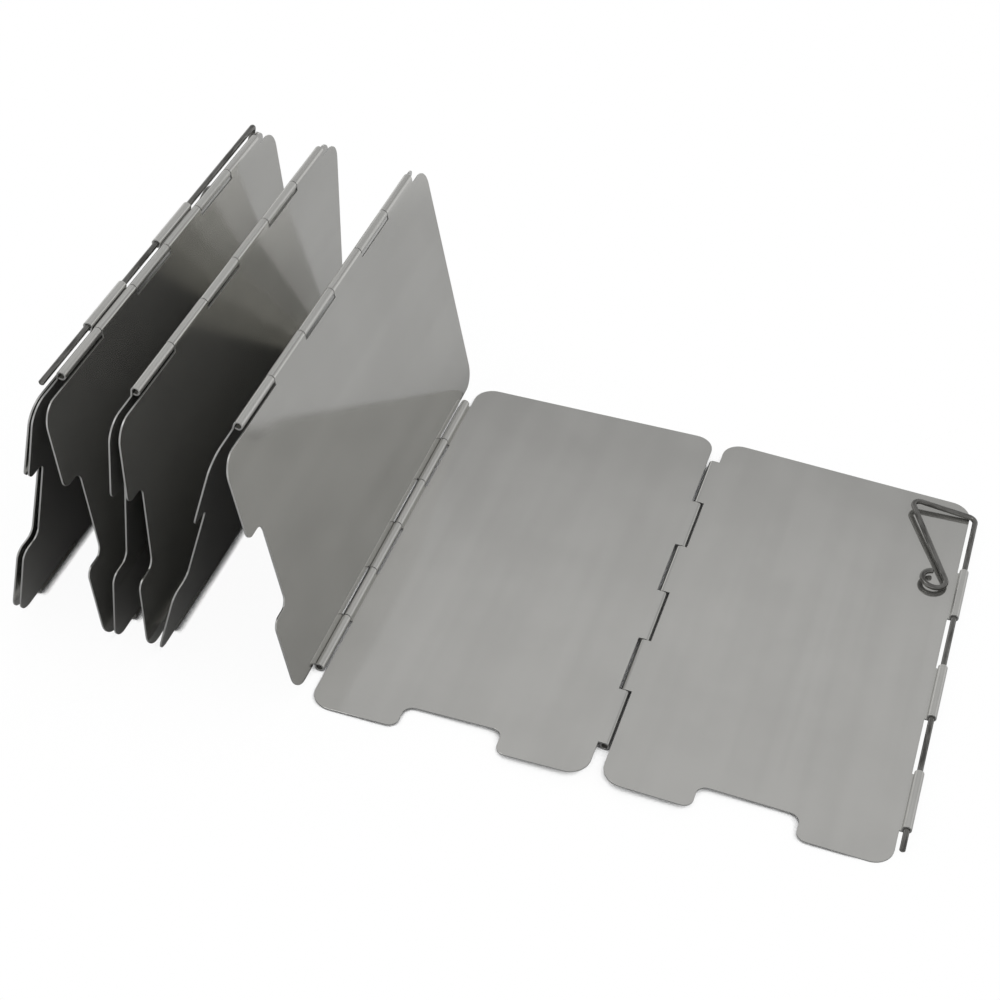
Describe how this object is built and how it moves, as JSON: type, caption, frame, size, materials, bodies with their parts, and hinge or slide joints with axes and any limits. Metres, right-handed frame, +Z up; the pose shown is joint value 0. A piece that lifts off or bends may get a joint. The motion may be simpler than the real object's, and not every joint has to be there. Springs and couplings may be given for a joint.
{
  "type": "stove windscreen",
  "caption": "Folding camp stove windscreen of thin satin aluminium panels with rolled knuckle hinges on wire pins, notched bottom edges and a sliding stake rod at each free edge.",
  "frame": {"origin": "middle of the bounding box at its lowest level, on the surface that the flat panels lie on", "axes": "+X along the screen from its folded end to its flat free edge, +Y up the panels from their notched bottom edges to their plain top edges, +Z up from that surface"},
  "size_m": [0.2296, 0.1366, 0.0768],
  "materials": {
    "sheet": "satin rolled sheet",
    "wire": "bright drawn wire"
  },
  "bodies": {
    "leaf_1": {"panel_1": "sheet", "hinge_pin_1": "wire"},
    "leaf_2": {"panel_2": "sheet", "hinge_pin_2": "wire"},
    "leaf_3": {"panel_3": "sheet", "hinge_pin_3": "wire"},
    "leaf_4": {"panel_4": "sheet", "hinge_pin_4": "wire"},
    "leaf_5": {"panel_5": "sheet", "hinge_pin_5": "wire"},
    "leaf_6": {"panel_6": "sheet", "hinge_pin_6": "wire"},
    "leaf_7": {"panel_7": "sheet", "hinge_pin_7": "wire"},
    "leaf_8": {"panel_8": "sheet", "hinge_pin_8": "wire"},
    "leaf_9": {"panel_9": "sheet"},
    "stake_1": {"stake_rod_1": "wire"},
    "stake_2": {"stake_rod_2": "wire"}
  },
  "joints": [
    {"name": "hinge_1", "type": "hinge", "parent": "leaf_2", "child": "leaf_1", "pos_m": [0.039, 0, 0.00124], "axis": [0, -1, 0], "range_deg": [-176.94, 93.06]},
    {"name": "hinge_2", "type": "hinge", "parent": "leaf_2", "child": "leaf_3", "pos_m": [-0.03553, 0, 0.00124], "axis": [0, -1, 0], "range_deg": [-102.51, 167.49]},
    {"name": "hinge_3", "type": "hinge", "parent": "leaf_3", "child": "leaf_4", "pos_m": [-0.05553, 0, 0.07303], "axis": [0, 1, 0], "range_deg": [-28.07, 226.93]},
    {"name": "hinge_4", "type": "hinge", "parent": "leaf_4", "child": "leaf_5", "pos_m": [-0.07553, 0, 0.00124], "axis": [0, -1, 0], "range_deg": [-16.85, 168.15]},
    {"name": "hinge_5", "type": "hinge", "parent": "leaf_5", "child": "leaf_6", "pos_m": [-0.08118, 0, 0.07555], "axis": [0, 1, 0], "range_deg": [-5.64, 174.36]},
    {"name": "hinge_6", "type": "hinge", "parent": "leaf_6", "child": "leaf_7", "pos_m": [-0.08683, 0, 0.00124], "axis": [0, -1, 0], "range_deg": [-11.61, 213.39]},
    {"name": "hinge_7", "type": "hinge", "parent": "leaf_7", "child": "leaf_8", "pos_m": [-0.10018, 0, 0.07456], "axis": [0, 1, 0], "range_deg": [-17.58, 162.42]},
    {"name": "hinge_8", "type": "hinge", "parent": "leaf_8", "child": "leaf_9", "pos_m": [-0.11353, 0, 0.00124], "axis": [0, -1, 0], "range_deg": [0, 255.95]},
    {"name": "stake_slide_1", "type": "slide", "parent": "leaf_1", "child": "stake_1", "axis": [0, -1, 0], "range_m": [0, 0.021]},
    {"name": "stake_slide_2", "type": "slide", "parent": "leaf_9", "child": "stake_2", "axis": [0, -1, 0], "range_m": [0, 0.042]}
  ]
}
